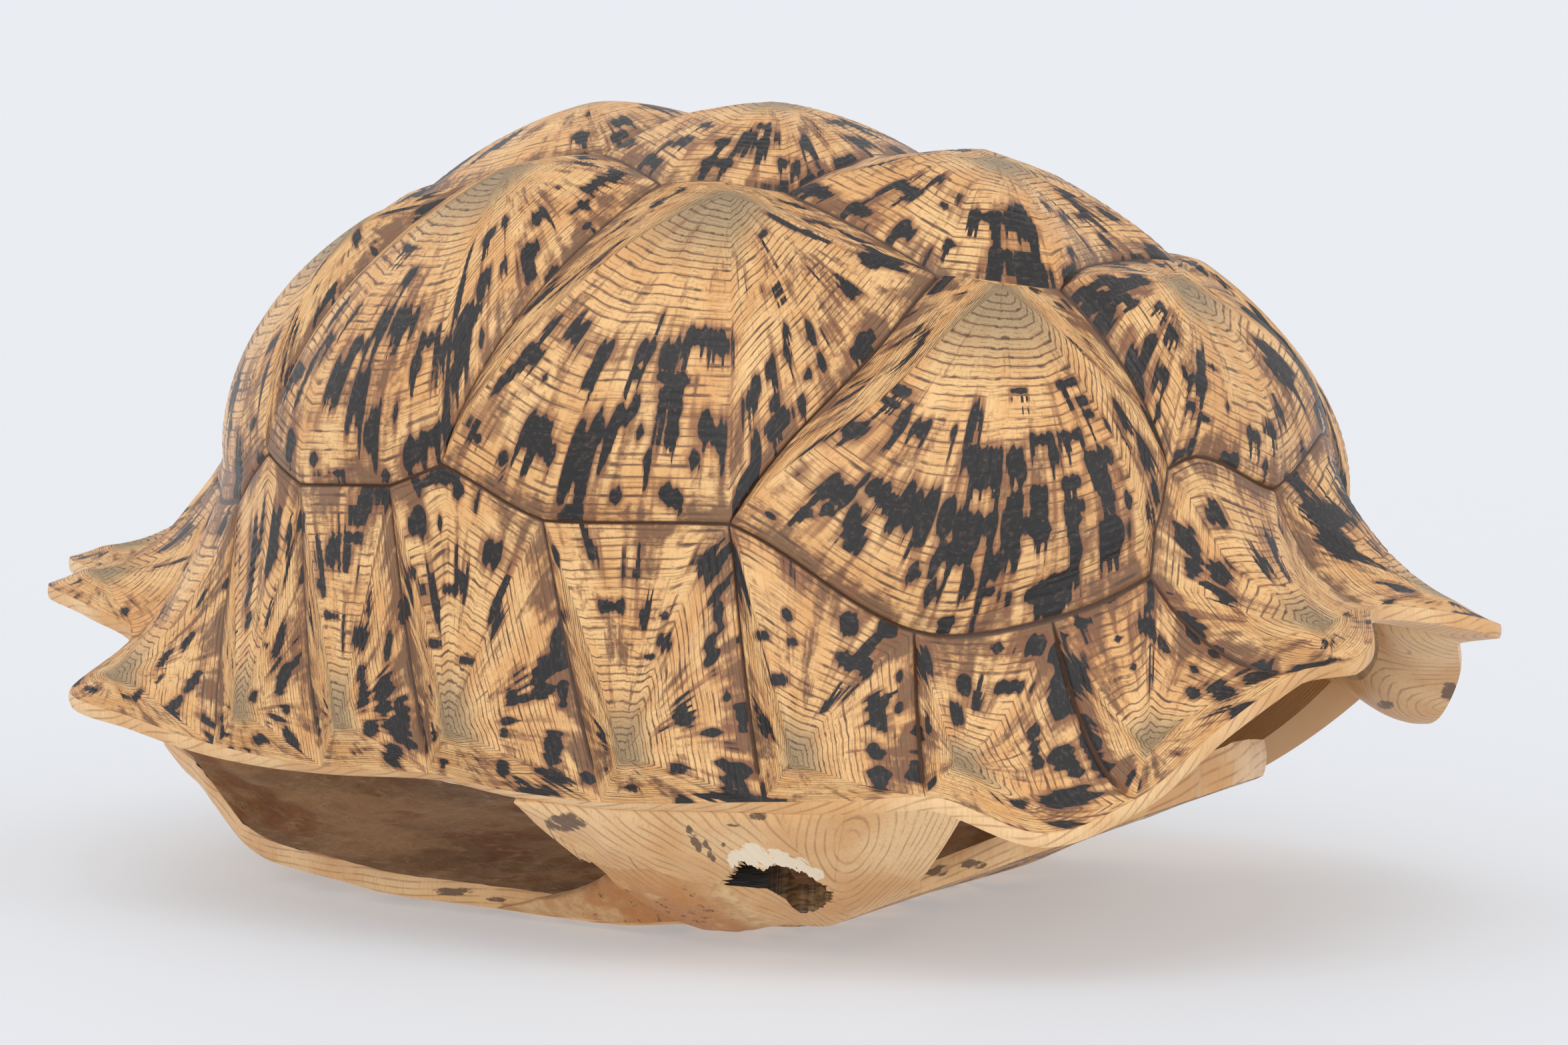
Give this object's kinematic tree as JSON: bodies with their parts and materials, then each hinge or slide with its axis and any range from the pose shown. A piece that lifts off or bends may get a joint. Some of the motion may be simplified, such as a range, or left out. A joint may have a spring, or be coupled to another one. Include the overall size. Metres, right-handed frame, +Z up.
{
  "type": "tortoise shell",
  "caption": "Empty domed tortoise shell: carapace of ringed horny scutes with a flared rim, bridges at both sides and a plastron below, open at both ends",
  "frame": {"origin": "centre of the bounding box's base, on the surface the plastron rests on", "axes": "+X to the head end, +Y to the animal's left, +Z up"},
  "size_m": [0.3918, 0.2784, 0.2055],
  "materials": {
    "horn": "satin"
  },
  "bodies": {
    "root": {"tortoise_shell": "horn"}
  },
  "joints": []
}
